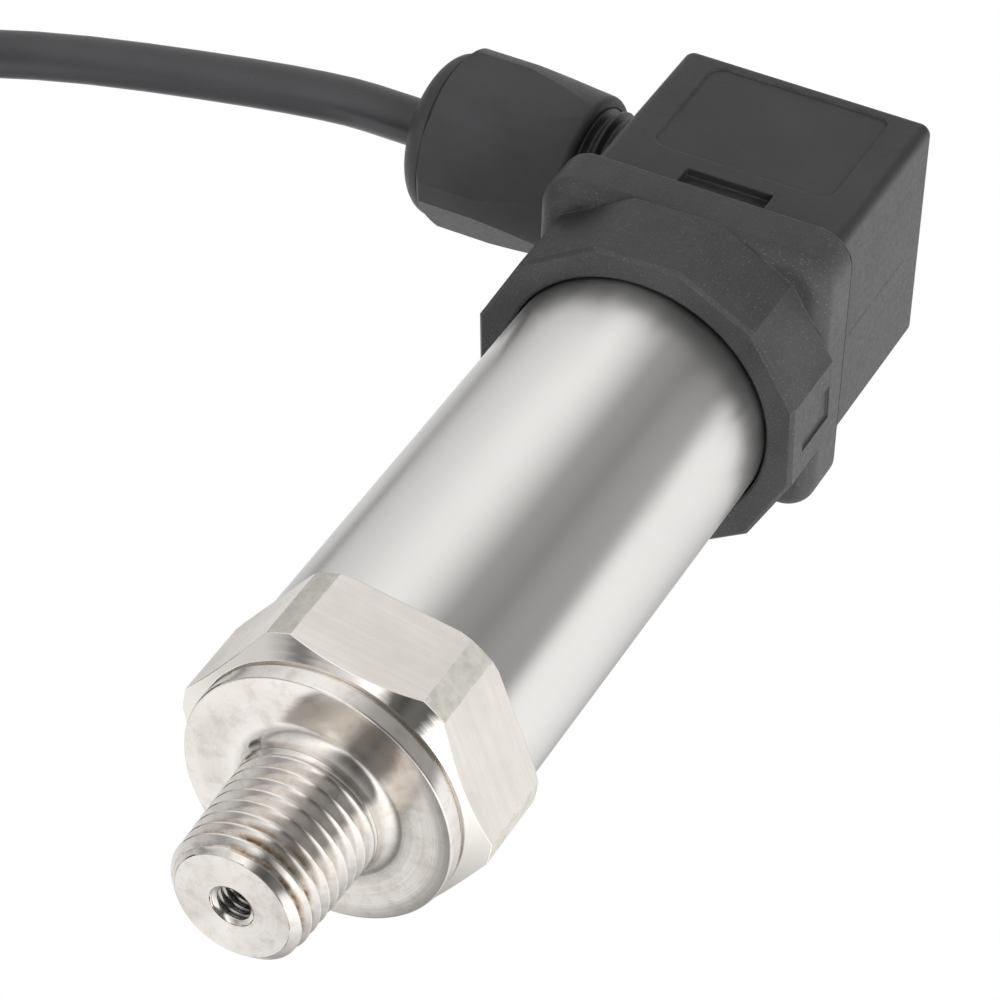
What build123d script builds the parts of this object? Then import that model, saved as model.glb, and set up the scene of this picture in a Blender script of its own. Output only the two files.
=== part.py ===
from build123d import *
import math
import os

os.makedirs("parts", exist_ok=True)

# Millimetres. Z runs from the tip of the process thread to the lid of the plug, and the cable leaves along -X.

# Process fitting, turned from hexagon bar
tip_flat_radius = 5.4
tip_chamfer = 0.75
thread_tip_radius = 6.45
thread_taper = 1 / 32
thread_length = 11.4
neck_radius = 6.75
neck_fillet = 1.2
disc_height = 13.98
disc_radius = 12.9
disc_edge = 0.2
disc_thickness = 1.75
groove_width = 0.45
groove_depth = 0.3
hex_across_flats = 27.0
hex_corner_rise = 1.43
hex_turn = 8.7
hex_length = 9.94
hex_top_chamfer = 0.5
chamfer_slope = math.tan(math.radians(30))
fitting_spigot_length = 4.0
restrictor_radius = 1.65
restrictor_depth = 9.0
restrictor_countersink = 0.38
channel_radius = 1.1
pocket_radius = 9.6
pocket_depth = 11.52

# Housing tube
tube_radius = 13.4
tube_wall = 1.2
tube_length = 53.68
weld_gap = 0.02

# Measuring cell in the fitting's pocket
seal_section = 1.8
seal_pitch_radius = 7.2
seal_edge = 0.4
cell_gap = 0.2
cell_thickness = 5.6
cell_cup_radius = 5.2
cell_cup_depth = 3.2
clamp_ring_bore = 6.4
clamp_ring_slot = 1.2
clamp_ring_height = 2.6
clamp_ring_clearance = 0.05

# Circuit board and what stands on it
board_grip = 0.6
board_thickness = 1.6
board_gap = 4.9
board_top_gap = 2.1
slot_clearance = 0.05
lead_radius = 0.35
lead_pitch = 2.4
lead_overlap = 3.5
chip_width = 8.0
chip_height = 6.0
chip_thickness = 1.5
chip_edge = 0.3
chip_shares = (0.25, 0.52)
capacitor_radius = 2.4
capacitor_height = 5.4
capacitor_edge = 0.4
capacitor_offset = 5.6
capacitor_share = 0.8

# Plug base: collar with twelve flats, square flange and inner spigot, moulded in one piece
collar_overhang = 5.67
collar_height = 8.57
collar_circumradius = 16.85
collar_sides = 12
collar_turn = 13.0
collar_edge = 0.35
collar_overlap = 0.15
collar_gap = 0.4
flange_height = 6.1
flange_ledge = 1.85
flange_corner_radius = 3.5
flange_top_edge = 0.35
flange_low_edge = 1.8
window_width = 3.7
window_rise = 2.37
window_height = 5.9
window_depth = 0.25
base_spigot_clearance = 0.25
base_spigot_wall = 2.55
base_spigot_length = 8.3
base_wall_thickness = 8.4
tail_room_wall = 1.35
tail_room_depth = 3.2
base_seal_section = 1.6
base_seal_depth = 4.0
base_seal_edge = 0.35
base_seal_nip = 0.1

# Pins, terminals and the screw in the middle
pin_circle_radius = 9.0
pin_width = 6.3
pin_thickness = 0.8
pin_above_base = 5.6
pin_tail = 1.5
pin_tail_width = 2.4
pin_clearance = 0.02
pin_tip_edge = 0.2
terminal_width = 7.2
terminal_depth = 2.4
terminal_rise = 1.6
terminal_height = 6.2
terminal_slot_depth = 4.3
terminal_slot_clearance = 0.05
pocket_clearance = 0.1
clamp_screw_radius = 0.9
clamp_screw_head_radius = 1.1
clamp_screw_head_height = 1.3
clamp_screw_reach = 1.2
clamp_screw_lift = 0.3
clamp_screw_clearance = 0.04
clamp_screw_offset = -1.6
clamp_screw_slot_width = 0.4
clamp_screw_slot_depth = 0.6
bush_radius = 2.6
bush_height = 7.0
screw_radius = 1.45
screw_clearance = 0.06
screw_engagement = 6.6
screw_head_radius = 2.75
screw_head_height = 2.0
screw_head_edge = 0.3
screw_slot_width = 0.8
screw_slot_depth = 1.0
screw_passage = 0.35
ring_seal_radius = 3.4
ring_seal_thickness = 0.8
head_recess_radius = 3.7
head_recess_depth = 3.0

# Gasket, terminal block and hood
gasket_thickness = 1.0
gasket_inset = 0.35
block_wall = 0.62
block_lip = 1.0
block_clearance = 0.18
hood_extra_length = 0.9
hood_height = 22.06
hood_corner_radius = 2.4
hood_lid_edge = 0.9
hood_wall = 1.6
lid_thickness = 2.0
post_radius = 4.9
panel_side = 3.75
panel_rise = 6.0
panel_drop = 1.46
panel_corner = 1.5
panel_depth = 0.2
pry_slot_width = 9.0
pry_slot_height = 4.0
pry_slot_depth = 0.9

# Cable gland on the hood's -X side
gland_drop = 8.76
gland_thread_radius = 7.5
gland_thread_clearance = 0.06
gland_relief_depth = 0.8
gland_relief_length = 1.6
gland_spigot_length = 16.85
gland_wall = 1.9
gland_seat_depth = 7.0
gland_entry_clearance = 1.4
grommet_proud = 3.8
grommet_clearance = 0.1
grommet_step = 1.0
slip_washer_gap = 0.5
slip_washer_thickness = 0.8
nut_lip = 2.6
nut_length = 18.6
nut_mouth_clearance = 0.4
nut_mouth_ring = 0.4
nut_dome_radius = 5.0
nut_shoulder_length = 3.7
nut_shoulder_edge = 0.35
nut_wall = 1.12
nut_flare = 0.68
nut_flat_margin = 0.02
nut_taper_length = 8.9
nut_box_edge = 0.8
nut_turn = 35.0
nut_counterbore_step = 0.4
nut_thread_spare = 1.5

# Cable, its cores and its coil
cable_radius = 2.5
jacket_setback = 0.85
cable_reaches = (50, 84.5, 102, 112)
cable_drops = (0, 10.6, 27.1, 47.1)
cable_into_coil = 16.0
arc_share = 0.45
turn_gap = 0.2
coil_inner_turn_radius = 23.5
coil_drop = 79.1
coil_turns_along = 3
coil_corner = 2.4
tail_length = 47.0
tail_hidden = 11.0
tie_width = 4.0
tie_thickness = 1.0
core_radius = 0.7
core_circle_radius = 1.1
core_shift = 0.2
core_rise = 0.3
core_bend = 1.5
core_straight = 2.0
core_fan = 6.8
core_spread = 5.0
core_inner_spread = 3.2
core_landing = 2.4
core_level = 4.2
core_post_gap = 0.3
free_core_length = 26.0
free_core_splay = 4.0
stripped_length = 6.0
strand_radius = 0.45

# Sizes that follow from the ones above
tube_bore = tube_radius - tube_wall
hex_bar_radius = hex_across_flats / 2 + hex_corner_rise
thread_end_radius = thread_tip_radius + thread_taper * thread_length
disc_top = disc_height + disc_thickness
groove_top = disc_top + groove_width
corner_start = groove_top + (hex_bar_radius - disc_radius) * chamfer_slope
hex_top = groove_top + hex_length
fitting_top = hex_top + fitting_spigot_length
pocket_floor = fitting_top - pocket_depth
cell_radius = pocket_radius - cell_gap
cell_bottom = pocket_floor + seal_section
cell_top = cell_bottom + cell_thickness
tube_top = hex_top + tube_length
collar_bottom = tube_top - collar_overhang
collar_bore_radius = tube_radius + collar_gap
flange_bottom = collar_bottom + collar_height
base_top = flange_bottom + flange_height
base_wall_bottom = base_top - base_wall_thickness
base_spigot_radius = tube_bore - base_spigot_clearance
base_spigot_bore = base_spigot_radius - base_spigot_wall
base_spigot_bottom = tube_top - base_spigot_length
tail_room_radius = base_spigot_radius - tail_room_wall
tail_room_bottom = base_wall_bottom - tail_room_depth
base_seal_height = tube_top - base_seal_depth
board_width = 2 * (base_spigot_bore + board_grip)
board_bottom = cell_top + clamp_ring_height + board_gap
board_top = base_wall_bottom - board_top_gap
board_free = base_spigot_bottom - board_bottom
terminal_bottom = base_top + terminal_rise
terminal_top = terminal_bottom + terminal_height
block_top = terminal_top + block_lip
block_width = 2 * (pin_circle_radius + terminal_depth / 2 + pocket_clearance + block_wall)
block_length = block_width + hood_extra_length
hood_width = block_width + 2 * (block_clearance + hood_wall)
hood_length = hood_width + hood_extra_length
hood_side = hood_length / 2
flange_width = hood_length + 2 * flange_ledge
hood_bottom = base_top + gasket_thickness
hood_top = hood_bottom + hood_height
panel_bottom = hood_bottom + panel_rise
panel_height = hood_height - panel_rise - panel_drop
ring_seal_top = hood_top - head_recess_depth + ring_seal_thickness
screw_bottom = base_top - screw_engagement
gland_height = hood_top - gland_drop
gland_spigot_end = -hood_side - gland_spigot_length
gland_seat_start = gland_spigot_end + gland_seat_depth
gland_seat_radius = gland_thread_radius - gland_wall
gland_entry_radius = cable_radius + gland_entry_clearance
gland_relief_radius = gland_thread_radius - gland_relief_depth
grommet_end = gland_spigot_end - grommet_proud
grommet_radius = gland_seat_radius - grommet_clearance
grommet_neck_radius = gland_seat_radius - grommet_step
nut_seat = grommet_end - slip_washer_thickness
nut_mouth = nut_seat - nut_lip
nut_mouth_bore = cable_radius + nut_mouth_clearance
nut_mouth_radius = nut_mouth_bore + nut_mouth_ring
nut_shoulder_end = nut_mouth + nut_shoulder_length
nut_box_end = nut_mouth + nut_length
nut_taper_start = nut_box_end - nut_taper_length
nut_box_radius = gland_thread_radius + nut_wall
nut_radius = nut_box_radius + nut_flare
nut_across_flats = 2 * (nut_box_radius - nut_flat_margin)
nut_counterbore = gland_thread_radius - nut_counterbore_step
nut_thread_end = gland_spigot_end - nut_thread_spare
slip_washer_radius = nut_counterbore - slip_washer_gap
cable_inner_end = -hood_side - jacket_setback
coil_centre_height = gland_height - coil_drop
cable_route = [(cable_inner_end, 0, gland_height)]
cable_route += [(-reach, 0, gland_height - drop) for reach, drop in zip(cable_reaches, cable_drops)]
cable_route += [(-cable_reaches[-1], 0, coil_centre_height + cable_into_coil)]
turn_pitch = 2 * cable_radius + turn_gap
core_side = post_radius + core_radius + core_post_gap
gland_axis = Axis((0, 0, gland_height), (1, 0, 0))
window_angle = math.radians(collar_turn - 180 / collar_sides)
window_normal = (math.cos(window_angle), math.sin(window_angle), 0)
window_distance = collar_circumradius * math.cos(math.pi / collar_sides) - window_depth
window_height_start = collar_bottom + window_rise
window_plane = Plane(
    origin=(window_distance * window_normal[0], window_distance * window_normal[1], window_height_start),
    x_dir=(-window_normal[1], window_normal[0], 0),
    z_dir=window_normal,
)
pin_places = [(pin_circle_radius, 0, 90), (0, pin_circle_radius, 0), (0, -pin_circle_radius, 0)]
earth_place = (-pin_circle_radius, 0, 90)


def gland_plane(x):
    """The plane square to the gland's axis at the given x."""
    return Plane(origin=(x, 0, gland_height), x_dir=(0, 1, 0), z_dir=(1, 0, 0))


def save(part, label):
    part.label = label
    export_step(part, f"parts/{label}.step")


# Process fitting: hexagon, sealing disc, tapered thread, restrictor thread and cell pocket in one piece
with BuildPart() as process_fitting:
    with BuildSketch(Plane.XY.offset(groove_top)):
        RegularPolygon(hex_across_flats / 2, 6, major_radius=False, rotation=hex_turn)
    extrude(amount=hex_top - groove_top)
    with BuildSketch(Plane.XZ):
        with BuildLine():
            Polyline(
                (0, groove_top),
                (disc_radius, groove_top),
                (hex_bar_radius, corner_start),
                (hex_bar_radius, hex_top - hex_top_chamfer * chamfer_slope),
                (hex_bar_radius - hex_top_chamfer, hex_top),
                (0, hex_top),
                close=True,
            )
        make_face()
    revolve(axis=Axis.Z, mode=Mode.INTERSECT)
    with BuildSketch(Plane.XZ):
        with BuildLine():
            Polyline(
                (0, 0),
                (tip_flat_radius, 0),
                (thread_tip_radius, tip_chamfer),
                (thread_end_radius, thread_length),
                (neck_radius, thread_length),
                (neck_radius, disc_height - neck_fillet),
            )
            RadiusArc(
                (neck_radius, disc_height - neck_fillet), (neck_radius + neck_fillet, disc_height), -neck_fillet
            )
            Polyline(
                (neck_radius + neck_fillet, disc_height),
                (disc_radius - disc_edge, disc_height),
                (disc_radius, disc_height + disc_edge),
                (disc_radius, disc_top),
                (disc_radius - groove_depth, disc_top),
                (disc_radius - groove_depth, groove_top),
                (0, groove_top),
                (0, 0),
            )
        make_face()
    revolve(axis=Axis.Z)
    with BuildSketch(Plane.XY.offset(hex_top)):
        Circle(tube_bore - weld_gap)
    extrude(amount=fitting_spigot_length)
    with BuildSketch(Plane.XZ):
        with BuildLine():
            Polyline(
                (0, 0),
                (restrictor_radius + restrictor_countersink, 0),
                (restrictor_radius, restrictor_countersink),
                (restrictor_radius, restrictor_depth),
                (channel_radius, restrictor_depth + restrictor_radius - channel_radius),
                (channel_radius, pocket_floor),
                (pocket_radius, pocket_floor),
                (pocket_radius, fitting_top),
                (0, fitting_top),
                close=True,
            )
        make_face()
    revolve(axis=Axis.Z, mode=Mode.SUBTRACT)
save(process_fitting.part, "process_fitting")

# Housing tube, welded on the hexagon
with BuildPart() as housing_tube:
    with BuildSketch(Plane.XY.offset(hex_top)):
        Circle(tube_radius)
        Circle(tube_bore, mode=Mode.SUBTRACT)
    extrude(amount=tube_length)
save(housing_tube.part, "housing_tube")

# Measuring cell between its seal and the threaded clamp ring
with BuildPart() as cell_seal:
    with BuildSketch(Plane.XZ) as cell_seal_section:
        with Locations((seal_pitch_radius, pocket_floor + seal_section / 2)):
            Rectangle(seal_section, seal_section)
        chamfer(cell_seal_section.vertices(), seal_edge)
    revolve(axis=Axis.Z)
save(cell_seal.part, "cell_seal")

with BuildPart() as pressure_cell:
    with BuildSketch(Plane.XY.offset(cell_bottom)):
        Circle(cell_radius)
    extrude(amount=cell_thickness)
    with BuildSketch(Plane.XY.offset(cell_top - cell_cup_depth)):
        Circle(cell_cup_radius)
    extrude(amount=cell_cup_depth, mode=Mode.SUBTRACT)
save(pressure_cell.part, "pressure_cell")

with BuildPart() as clamp_ring:
    with BuildSketch(Plane.XY.offset(cell_top)):
        Circle(pocket_radius - clamp_ring_clearance)
        Circle(clamp_ring_bore, mode=Mode.SUBTRACT)
    extrude(amount=clamp_ring_height)
    with BuildSketch(Plane.XY.offset(cell_top + clamp_ring_height)):
        Rectangle(2 * pocket_radius, clamp_ring_slot)
    extrude(amount=-clamp_ring_height / 2, mode=Mode.SUBTRACT)
save(clamp_ring.part, "clamp_ring")

# Circuit board, standing in two slots of the base's spigot
with BuildPart() as circuit_board:
    with BuildSketch(Plane.XY.offset(board_bottom)):
        Rectangle(board_width, board_thickness)
    extrude(amount=board_top - board_bottom)
save(circuit_board.part, "circuit_board")

for number, share in enumerate(chip_shares, 1):
    with BuildPart() as chip:
        with BuildSketch(Plane.XZ.offset(board_thickness / 2)):
            with Locations((0, board_bottom + share * board_free)):
                Rectangle(chip_width, chip_height)
        extrude(amount=chip_thickness)
        chamfer(chip.faces().sort_by(Axis.Y)[0].edges(), chip_edge)
    save(chip.part, f"chip_{number}")

for number, place in enumerate((-capacitor_offset, capacitor_offset), 1):
    with BuildPart() as capacitor:
        with BuildSketch(Plane.XZ.offset(board_thickness / 2)):
            with Locations((place, board_bottom + capacitor_share * board_free)):
                Circle(capacitor_radius)
        extrude(amount=capacitor_height)
        chamfer(capacitor.faces().sort_by(Axis.Y)[0].edges(), capacitor_edge)
    save(capacitor.part, f"capacitor_{number}")

lead_plane = Plane.XY.offset(cell_top - cell_cup_depth)
for number in range(4):
    with BuildPart() as cell_lead:
        with BuildSketch(lead_plane):
            with Locations(((number - 1.5) * lead_pitch, board_thickness / 2 + lead_radius)):
                Circle(lead_radius)
        extrude(amount=board_bottom + lead_overlap - lead_plane.origin.Z)
    save(cell_lead.part, f"cell_lead_{number + 1}")

# Plug base: collar, flange and spigot
with BuildPart() as plug_base:
    with BuildSketch(Plane.XY.offset(flange_bottom)):
        RectangleRounded(flange_width, flange_width, flange_corner_radius)
    extrude(amount=flange_height)
    fillet(plug_base.faces().sort_by(Axis.Z)[-1].edges(), flange_top_edge)
    fillet(plug_base.faces().sort_by(Axis.Z)[0].edges(), flange_low_edge)
    with BuildSketch(Plane.XY.offset(collar_bottom)):
        RegularPolygon(collar_circumradius, collar_sides, rotation=collar_turn)
    extrude(amount=flange_bottom + collar_overlap - collar_bottom)
    chamfer(plug_base.faces().sort_by(Axis.Z)[0].edges(), collar_edge)
    with BuildSketch(Plane.XY.offset(collar_bottom)):
        Circle(collar_bore_radius)
    extrude(amount=tube_top - collar_bottom, mode=Mode.SUBTRACT)
    with BuildSketch(Plane.XY.offset(tube_top)):
        Circle(base_spigot_radius)
    extrude(amount=base_spigot_bottom - tube_top)
    with BuildSketch(Plane.XY.offset(base_spigot_bottom)):
        Circle(base_spigot_bore)
        Rectangle(board_width + 2 * slot_clearance, board_thickness + 2 * slot_clearance)
    extrude(amount=base_wall_bottom - base_spigot_bottom, mode=Mode.SUBTRACT)
    with BuildSketch(Plane.XY.offset(tail_room_bottom)):
        Circle(tail_room_radius)
    extrude(amount=base_wall_bottom - tail_room_bottom, mode=Mode.SUBTRACT)
    with BuildSketch(Plane.XZ):
        with Locations((tube_bore - base_seal_section / 2, base_seal_height)):
            Rectangle(base_seal_section + 2 * base_seal_nip, base_seal_section + 2 * base_seal_nip)
    revolve(axis=Axis.Z, mode=Mode.SUBTRACT)
    with BuildSketch(Plane.XY.offset(base_top)):
        for x, y, angle in pin_places + [earth_place]:
            with Locations(Location((x, y), angle)):
                Rectangle(pin_width + 2 * pin_clearance, pin_thickness + 2 * pin_clearance)
    extrude(amount=base_wall_bottom - base_top, mode=Mode.SUBTRACT)
    with BuildSketch(Plane.XY.offset(base_top)):
        Circle(bush_radius)
    extrude(amount=-bush_height, mode=Mode.SUBTRACT)
    with BuildSketch(window_plane):
        with Locations((0, window_height / 2)):
            Rectangle(window_width, window_height)
    extrude(amount=2 * window_depth, mode=Mode.SUBTRACT)
save(plug_base.part, "plug_base")

with BuildPart() as base_seal:
    with BuildSketch(Plane.XZ) as base_seal_sketch:
        with Locations((tube_bore - base_seal_section / 2 - weld_gap, base_seal_height)):
            Rectangle(base_seal_section, base_seal_section)
        chamfer(base_seal_sketch.vertices(), base_seal_edge)
    revolve(axis=Axis.Z)
save(base_seal.part, "base_seal")

with BuildPart() as threaded_bush:
    with BuildSketch(Plane.XY.offset(base_top - bush_height)):
        Circle(bush_radius)
        Circle(screw_radius + screw_clearance, mode=Mode.SUBTRACT)
    extrude(amount=bush_height)
save(threaded_bush.part, "threaded_bush")

# Flat pins through the base's wall
pin_nodes = [f"contact_pin_{number}" for number in (1, 2, 3)] + ["earth_pin"]
for label, (x, y, angle) in zip(pin_nodes, pin_places + [earth_place]):
    with BuildPart() as pin:
        with BuildSketch(Plane.XY.offset(base_wall_bottom)):
            with Locations(Location((x, y), angle)):
                Rectangle(pin_width, pin_thickness)
        extrude(amount=base_top + pin_above_base - base_wall_bottom)
        chamfer(pin.faces().sort_by(Axis.Z)[-1].edges(), pin_tip_edge)
        with BuildSketch(Plane.XY.offset(base_wall_bottom)):
            with Locations(Location((x, y), angle)):
                Rectangle(pin_tail_width, pin_thickness)
        extrude(amount=-pin_tail)
    save(pin.part, label)

# Wires from the board up to the pins
lead_bottom = board_top - lead_overlap
lead_top = base_wall_bottom - pin_tail / 3
lead_side = board_thickness / 2 + lead_radius
pin_reach = pin_circle_radius - pin_thickness / 2 - lead_radius
lead_routes = [[(pin_reach, lead_side, lead_bottom), (pin_reach, lead_side, lead_top)]]
for side in (1, -1):
    lead_routes.append(
        [
            (0, side * lead_side, lead_bottom),
            (0, side * lead_side, board_top),
            (0, side * pin_reach, board_top),
            (0, side * pin_reach, lead_top),
        ]
    )
for number, lead_route in enumerate(lead_routes, 1):
    with BuildPart() as pin_lead:
        with BuildLine() as lead_line:
            Polyline(*lead_route)
        with BuildSketch(Plane.XY.offset(lead_bottom)):
            with Locations(lead_route[0][:2]):
                Circle(lead_radius)
        sweep(path=lead_line.line, transition=Transition.RIGHT)
    save(pin_lead.part, f"pin_lead_{number}")

# Gasket between the base and the hood
with BuildPart() as profile_gasket:
    with BuildSketch(Plane.XY.offset(base_top)):
        RectangleRounded(
            hood_length - 2 * gasket_inset, hood_width - 2 * gasket_inset, hood_corner_radius - gasket_inset
        )
        Rectangle(block_length + block_clearance, block_width + block_clearance, mode=Mode.SUBTRACT)
    extrude(amount=gasket_thickness)
save(profile_gasket.part, "profile_gasket")

# Terminal block with a pocket for each terminal
with BuildPart() as terminal_block:
    with BuildSketch(Plane.XY.offset(base_top)):
        RectangleRounded(block_length, block_width, hood_corner_radius - hood_wall)
        Circle(screw_radius + screw_passage, mode=Mode.SUBTRACT)
    extrude(amount=block_top - base_top)
    with BuildSketch(Plane.XY.offset(block_top)):
        for x, y, angle in pin_places + [earth_place]:
            with Locations(Location((x, y), angle)):
                Rectangle(terminal_width + 2 * pocket_clearance, terminal_depth + 2 * pocket_clearance)
    extrude(amount=terminal_bottom - block_top, mode=Mode.SUBTRACT)
    with BuildSketch(Plane.XY.offset(terminal_bottom)):
        for x, y, angle in pin_places + [earth_place]:
            with Locations(Location((x, y), angle)):
                Rectangle(pin_width + 2 * pocket_clearance, pin_thickness + 2 * pocket_clearance)
    extrude(amount=base_top - terminal_bottom, mode=Mode.SUBTRACT)
save(terminal_block.part, "terminal_block")

# Terminals and their clamp screws
for number, (x, y, angle) in enumerate(pin_places + [earth_place], 1):
    direction = (math.cos(math.radians(angle)), math.sin(math.radians(angle)))
    screw_place = (x + clamp_screw_offset * direction[0], y + clamp_screw_offset * direction[1])
    with BuildPart() as terminal:
        with BuildSketch(Plane.XY.offset(terminal_bottom)):
            with Locations(Location((x, y), angle)):
                Rectangle(terminal_width, terminal_depth)
        extrude(amount=terminal_height)
        with BuildSketch(Plane.XY.offset(terminal_bottom)):
            with Locations(Location((x, y), angle)):
                Rectangle(
                    pin_width + 2 * terminal_slot_clearance, pin_thickness + 2 * terminal_slot_clearance
                )
        extrude(amount=terminal_slot_depth, mode=Mode.SUBTRACT)
        with BuildSketch(Plane.XY.offset(terminal_top)):
            with Locations(screw_place):
                Circle(clamp_screw_radius + clamp_screw_clearance)
        extrude(amount=-clamp_screw_reach, mode=Mode.SUBTRACT)
    save(terminal.part, f"terminal_{number}")
    with BuildPart() as clamp_screw:
        with BuildSketch(Plane.XY.offset(terminal_top - clamp_screw_reach)):
            with Locations(screw_place):
                Circle(clamp_screw_radius)
        extrude(amount=clamp_screw_reach + clamp_screw_lift)
        with BuildSketch(Plane.XY.offset(terminal_top + clamp_screw_lift)):
            with Locations(screw_place):
                Circle(clamp_screw_head_radius)
        extrude(amount=clamp_screw_head_height)
        with BuildSketch(Plane.XY.offset(terminal_top + clamp_screw_lift + clamp_screw_head_height)):
            with Locations(Location(screw_place, angle)):
                Rectangle(2 * clamp_screw_head_radius, clamp_screw_slot_width)
        extrude(amount=-clamp_screw_slot_depth, mode=Mode.SUBTRACT)
    save(clamp_screw.part, f"clamp_screw_{number}")

# Hood with its post, gland thread, label panels and pry slot
with BuildPart() as plug_hood:
    with BuildSketch(Plane.XY.offset(hood_bottom)):
        RectangleRounded(hood_length, hood_width, hood_corner_radius)
    extrude(amount=hood_height)
    fillet(plug_hood.faces().sort_by(Axis.Z)[-1].edges(), hood_lid_edge)
    with BuildSketch(Plane.XY.offset(hood_bottom)):
        RectangleRounded(
            hood_length - 2 * hood_wall, hood_width - 2 * hood_wall, hood_corner_radius - hood_wall
        )
    extrude(amount=hood_top - lid_thickness - hood_bottom, mode=Mode.SUBTRACT)
    with BuildSketch(Plane.XY.offset(block_top)):
        Circle(post_radius)
    extrude(amount=hood_top - lid_thickness - block_top)
    with BuildSketch(Plane.XY.offset(hood_top)):
        Circle(head_recess_radius)
    extrude(amount=-head_recess_depth, mode=Mode.SUBTRACT)
    with BuildSketch(Plane.XY.offset(block_top)):
        Circle(screw_radius + screw_passage)
    extrude(amount=hood_top - block_top, mode=Mode.SUBTRACT)
    with BuildSketch(gland_plane(gland_spigot_end)):
        Circle(gland_thread_radius)
    extrude(amount=hood_wall - hood_side - gland_spigot_end)
    with BuildSketch(gland_plane(-hood_side)):
        Circle(gland_thread_radius)
        Circle(gland_relief_radius, mode=Mode.SUBTRACT)
    extrude(amount=-gland_relief_length, mode=Mode.SUBTRACT)
    with BuildSketch(Plane.XZ):
        with BuildLine():
            Polyline(
                (gland_spigot_end, gland_height),
                (gland_spigot_end, gland_height + gland_seat_radius),
                (gland_seat_start - gland_seat_radius + gland_entry_radius, gland_height + gland_seat_radius),
                (gland_seat_start, gland_height + gland_entry_radius),
                (hood_wall - hood_side, gland_height + gland_entry_radius),
                (hood_wall - hood_side, gland_height),
                close=True,
            )
        make_face()
    revolve(axis=gland_axis, mode=Mode.SUBTRACT)
    for side in (-1, 1):
        with BuildSketch(Plane.XZ.offset(side * (hood_width / 2 - panel_depth))):
            with Locations((0, panel_bottom + panel_height / 2)):
                RectangleRounded(hood_length - 2 * panel_side, panel_height, panel_corner)
        extrude(amount=side * 2 * panel_depth, mode=Mode.SUBTRACT)
    with BuildSketch(Plane.XZ.offset(hood_width / 2 - pry_slot_depth)):
        with Locations((0, hood_bottom + pry_slot_height / 2)):
            Rectangle(pry_slot_width, pry_slot_height)
    extrude(amount=2 * pry_slot_depth, mode=Mode.SUBTRACT)
save(plug_hood.part, "plug_hood")

# Screw through the hood into the base, with its ring seal
with BuildPart() as screw_seal:
    with BuildSketch(Plane.XY.offset(hood_top - head_recess_depth)):
        Circle(ring_seal_radius)
        Circle(screw_radius + screw_clearance, mode=Mode.SUBTRACT)
    extrude(amount=ring_seal_thickness)
save(screw_seal.part, "screw_seal")

with BuildPart() as centre_screw:
    with BuildSketch(Plane.XY.offset(screw_bottom)):
        Circle(screw_radius)
    extrude(amount=ring_seal_top - screw_bottom)
    with BuildSketch(Plane.XY.offset(ring_seal_top)):
        Circle(screw_head_radius)
    extrude(amount=screw_head_height)
    chamfer(centre_screw.faces().sort_by(Axis.Z)[-1].edges(), screw_head_edge)
    with BuildSketch(Plane.XY.offset(ring_seal_top + screw_head_height)):
        Rectangle(2 * screw_head_radius, screw_slot_width)
    extrude(amount=-screw_slot_depth, mode=Mode.SUBTRACT)
save(centre_screw.part, "centre_screw")

# Gland: rubber grommet, slip washer and compression nut
with BuildPart() as gland_grommet:
    cone_length = gland_seat_radius - gland_entry_radius
    with BuildSketch(Plane.XZ):
        with BuildLine():
            Polyline(
                (gland_seat_start - grommet_clearance, gland_height + cable_radius),
                (gland_seat_start - grommet_clearance, gland_height + gland_entry_radius - grommet_clearance),
                (gland_seat_start - grommet_clearance - cone_length, gland_height + grommet_radius),
                (gland_spigot_end, gland_height + grommet_radius),
                (gland_spigot_end - cone_length / 2, gland_height + grommet_neck_radius),
                (grommet_end, gland_height + grommet_neck_radius),
                (grommet_end, gland_height + cable_radius),
                close=True,
            )
        make_face()
    revolve(axis=gland_axis)
save(gland_grommet.part, "gland_grommet")

with BuildPart() as slip_washer:
    with BuildSketch(gland_plane(nut_seat)):
        Circle(slip_washer_radius)
        Circle(nut_mouth_bore, mode=Mode.SUBTRACT)
    extrude(amount=slip_washer_thickness)
save(slip_washer.part, "slip_washer")

with BuildPart() as gland_nut:
    dome_centre = nut_mouth + nut_dome_radius
    neck_rise = math.sqrt(nut_dome_radius**2 - (dome_centre - nut_seat) ** 2)
    dome_middle = nut_dome_radius * math.sqrt(0.5)
    mouth_height = gland_height + nut_mouth_radius
    with BuildSketch(Plane.XZ):
        with BuildLine():
            Polyline(
                (nut_mouth, gland_height + nut_mouth_bore),
                (nut_mouth, mouth_height),
            )
            ThreePointArc(
                (nut_mouth, mouth_height),
                (dome_centre - dome_middle, mouth_height + dome_middle),
                (nut_seat, mouth_height + neck_rise),
            )
            Polyline(
                (nut_seat, mouth_height + neck_rise),
                (nut_shoulder_end - nut_shoulder_edge, gland_height + nut_radius - nut_shoulder_edge),
                (nut_shoulder_end, gland_height + nut_radius),
                (nut_taper_start, gland_height + nut_radius),
                (nut_box_end - nut_box_edge, gland_height + nut_box_radius),
            )
            RadiusArc(
                (nut_box_end - nut_box_edge, gland_height + nut_box_radius),
                (nut_box_end, gland_height + nut_box_radius - nut_box_edge),
                nut_box_edge,
            )
            Polyline(
                (nut_box_end, gland_height + nut_box_radius - nut_box_edge),
                (nut_box_end, gland_height + gland_thread_radius + gland_thread_clearance),
                (nut_thread_end, gland_height + gland_thread_radius + gland_thread_clearance),
                (nut_thread_end, gland_height + nut_counterbore),
                (nut_seat, gland_height + nut_counterbore),
                (nut_seat, gland_height + nut_mouth_bore),
                (nut_mouth, gland_height + nut_mouth_bore),
            )
        make_face()
    revolve(axis=gland_axis)
    with BuildSketch(gland_plane(nut_mouth)):
        RegularPolygon(nut_across_flats / 2, 6, major_radius=False, rotation=nut_turn)
    extrude(amount=nut_box_end - nut_mouth, mode=Mode.INTERSECT)
save(gland_nut.part, "gland_nut")


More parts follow.
